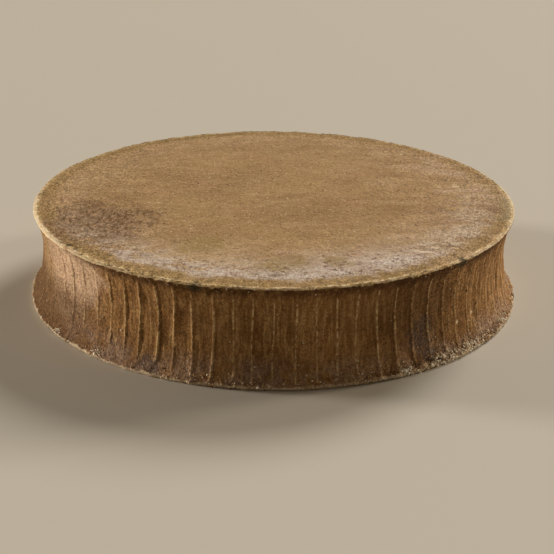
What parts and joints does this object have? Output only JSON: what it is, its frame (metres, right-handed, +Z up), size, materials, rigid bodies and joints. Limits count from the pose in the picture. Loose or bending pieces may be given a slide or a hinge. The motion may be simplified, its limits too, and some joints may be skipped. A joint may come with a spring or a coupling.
{
  "type": "abondance cheese wheel",
  "caption": "Whole round wheel of pressed mountain cheese, with a brown ribbed rind, a hollowed side and thin lips at its upper and lower edges.",
  "frame": {"origin": "middle of the flat underside", "axes": "+Z up through the middle of the wheel, -Y towards the front that the picture shows, +X to the right"},
  "size_m": [0.4106, 0.4114, 0.079],
  "materials": {
    "rind": "matte",
    "rind_crumbs": "matte"
  },
  "bodies": {
    "root": {"cheese_wheel": "rind"}
  },
  "joints": []
}
